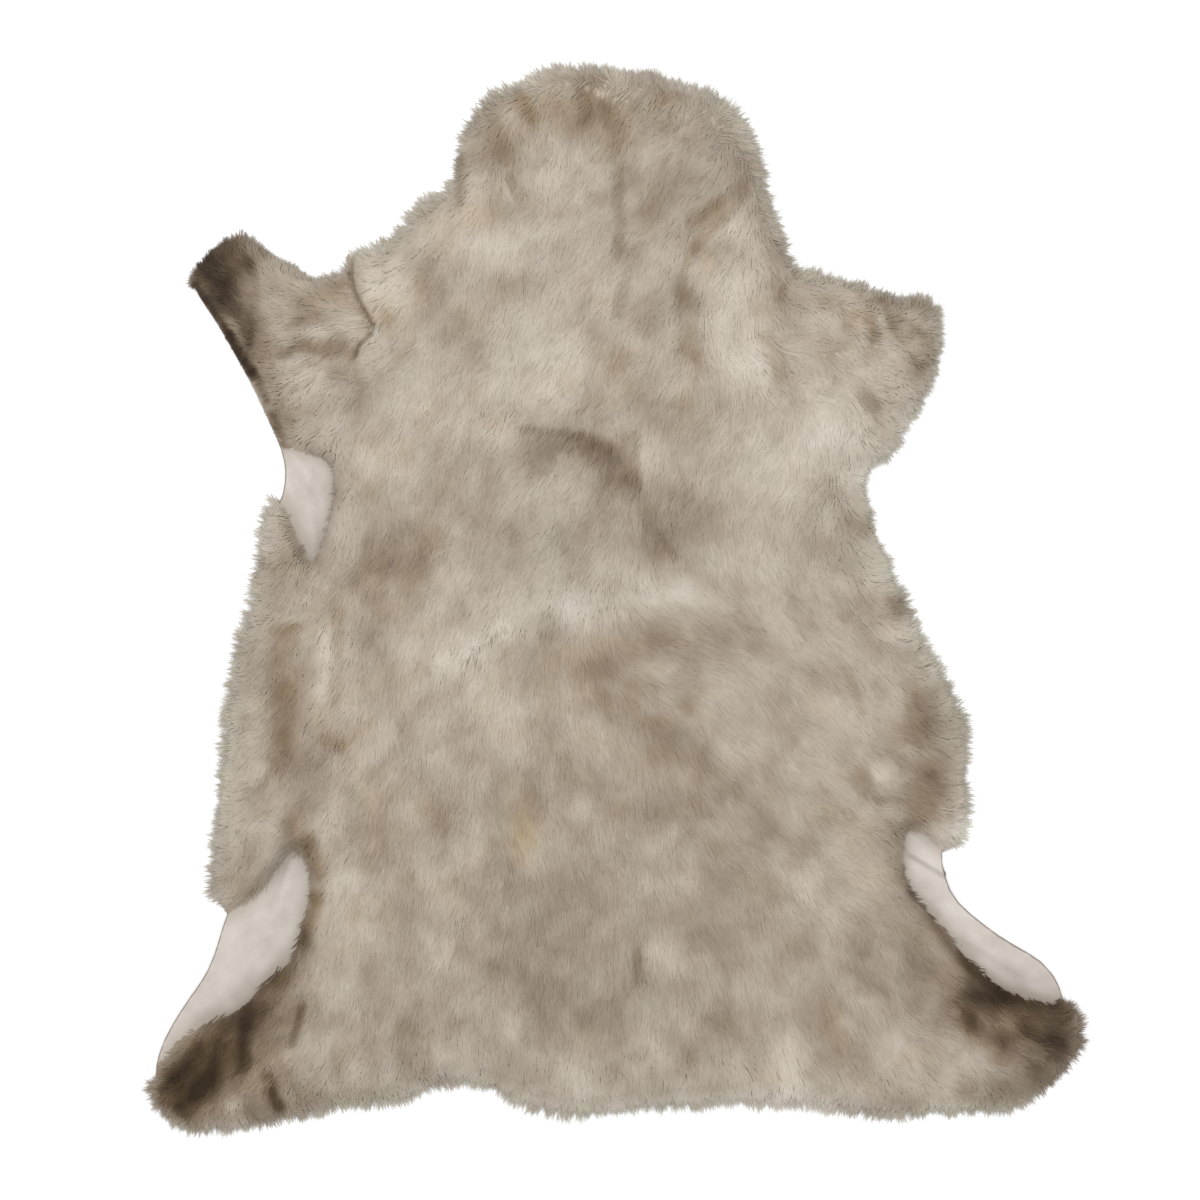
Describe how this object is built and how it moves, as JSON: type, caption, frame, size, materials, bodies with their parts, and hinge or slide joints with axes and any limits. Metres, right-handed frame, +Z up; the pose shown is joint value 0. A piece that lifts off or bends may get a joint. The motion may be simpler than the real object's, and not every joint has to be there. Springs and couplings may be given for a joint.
{
  "type": "lambskin",
  "caption": "Whole tanned lambskin laid flat with its short wool up, with the head end, both forelegs, both hind legs and locks round the rim.",
  "frame": {"origin": "the middle of the footprint, on the flat underside that lies on the floor", "axes": "+Y along the spine towards the head, +X to the right when the skin is seen from above, +Z up out of the wool"},
  "size_m": [0.8061, 0.9201, 0.0308],
  "materials": {
    "fleece": "short soft natural wool, cream to greige with brown hollows and leg tips",
    "hide": "pale tanned skin, matte suede underneath and smooth where it is bare on top"
  },
  "bodies": {
    "root": {"lambskin": "fleece"}
  },
  "joints": []
}
